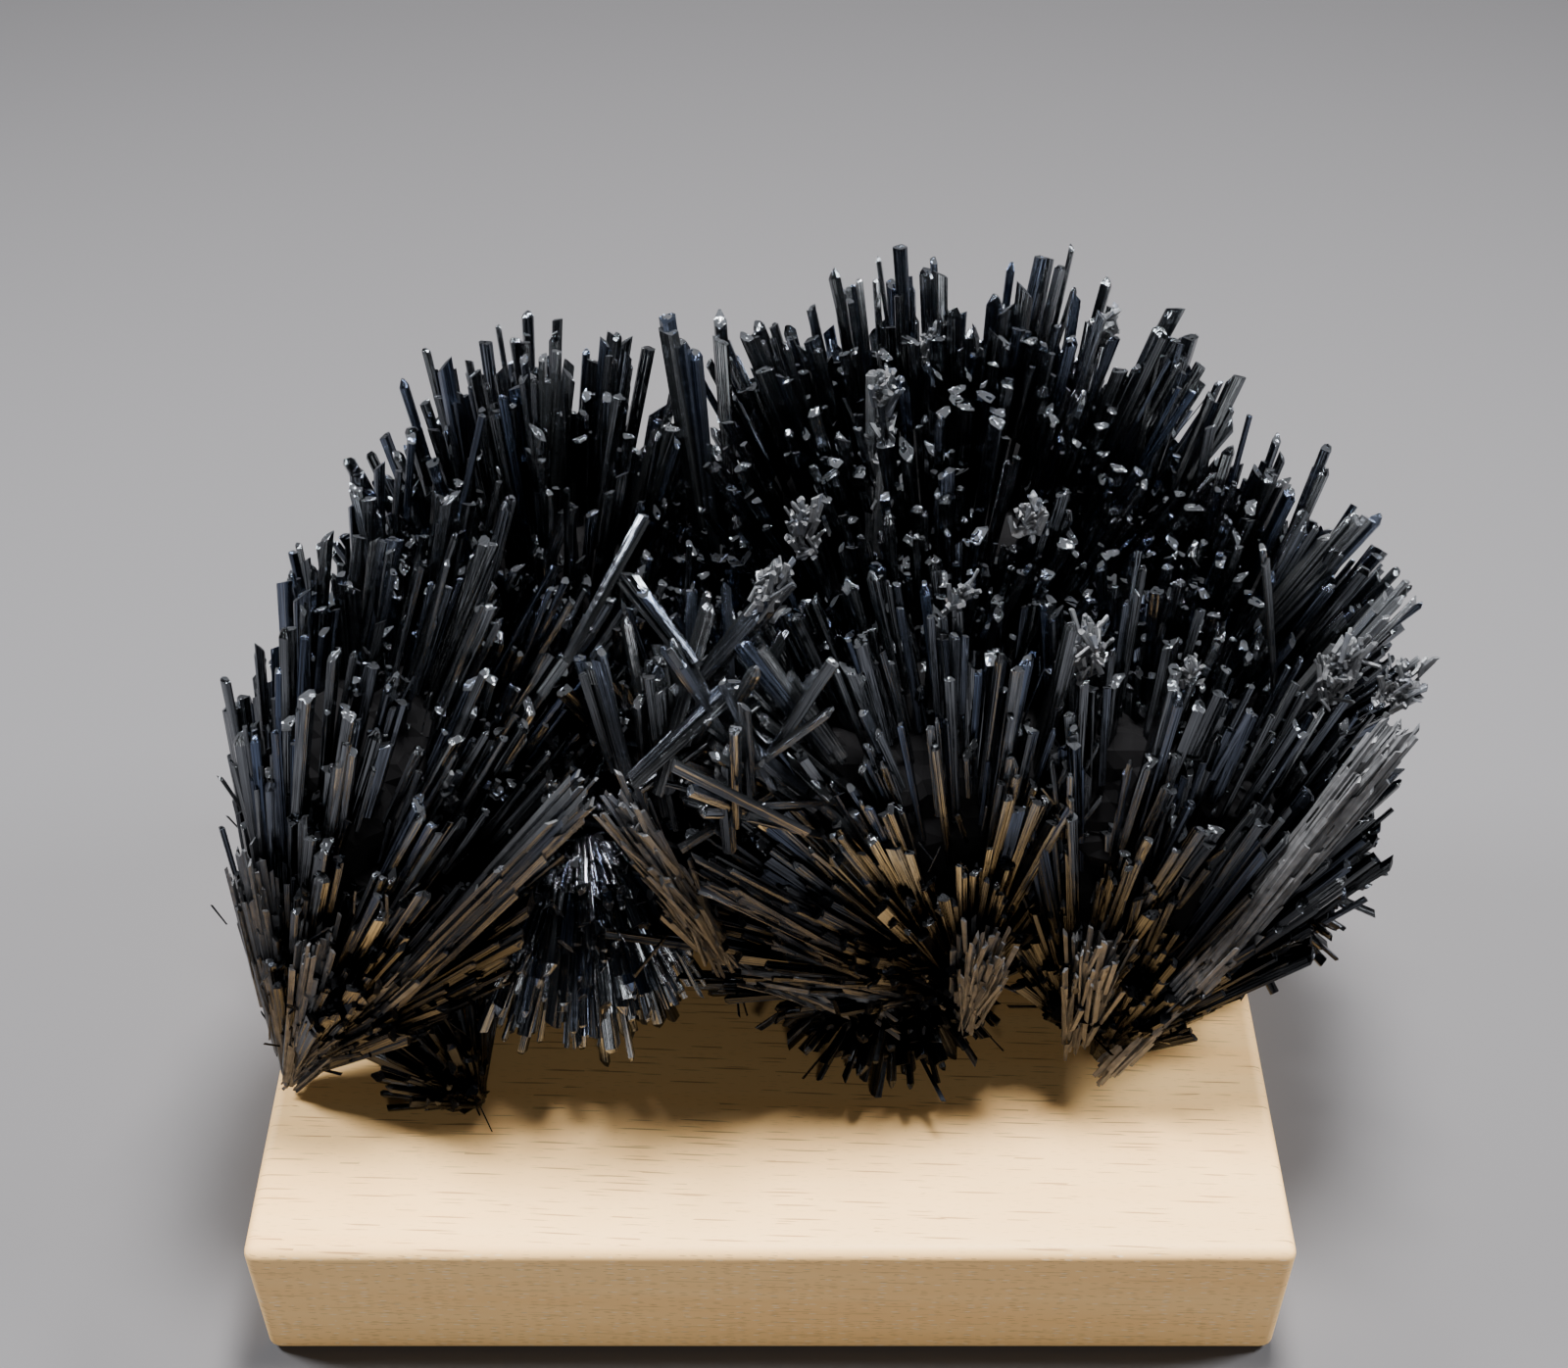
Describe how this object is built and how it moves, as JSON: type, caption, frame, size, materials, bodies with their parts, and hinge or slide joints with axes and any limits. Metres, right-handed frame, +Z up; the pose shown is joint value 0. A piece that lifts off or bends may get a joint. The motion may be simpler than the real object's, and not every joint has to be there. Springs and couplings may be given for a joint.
{
  "type": "stibnite crystal spray",
  "caption": "Dark metallic spray of fanning, lengthwise-grooved prismatic crystals grown together on iron-stained roots, resting on a pale wooden block.",
  "frame": {"origin": "centre of the wooden block's flat underside", "axes": "+X to the right along the block's long side, +Y to the back, +Z up from the surface the block stands on"},
  "size_m": [0.1269, 0.0813, 0.0963],
  "materials": {
    "stibnite": "bright metallic lustre on grooved faces, duller and brown-stained at the roots",
    "pale_wood": "planed and sanded, unvarnished, with eased edges"
  },
  "bodies": {
    "root": {"stibnite_spray": "stibnite", "display_block": "pale_wood"}
  },
  "joints": []
}
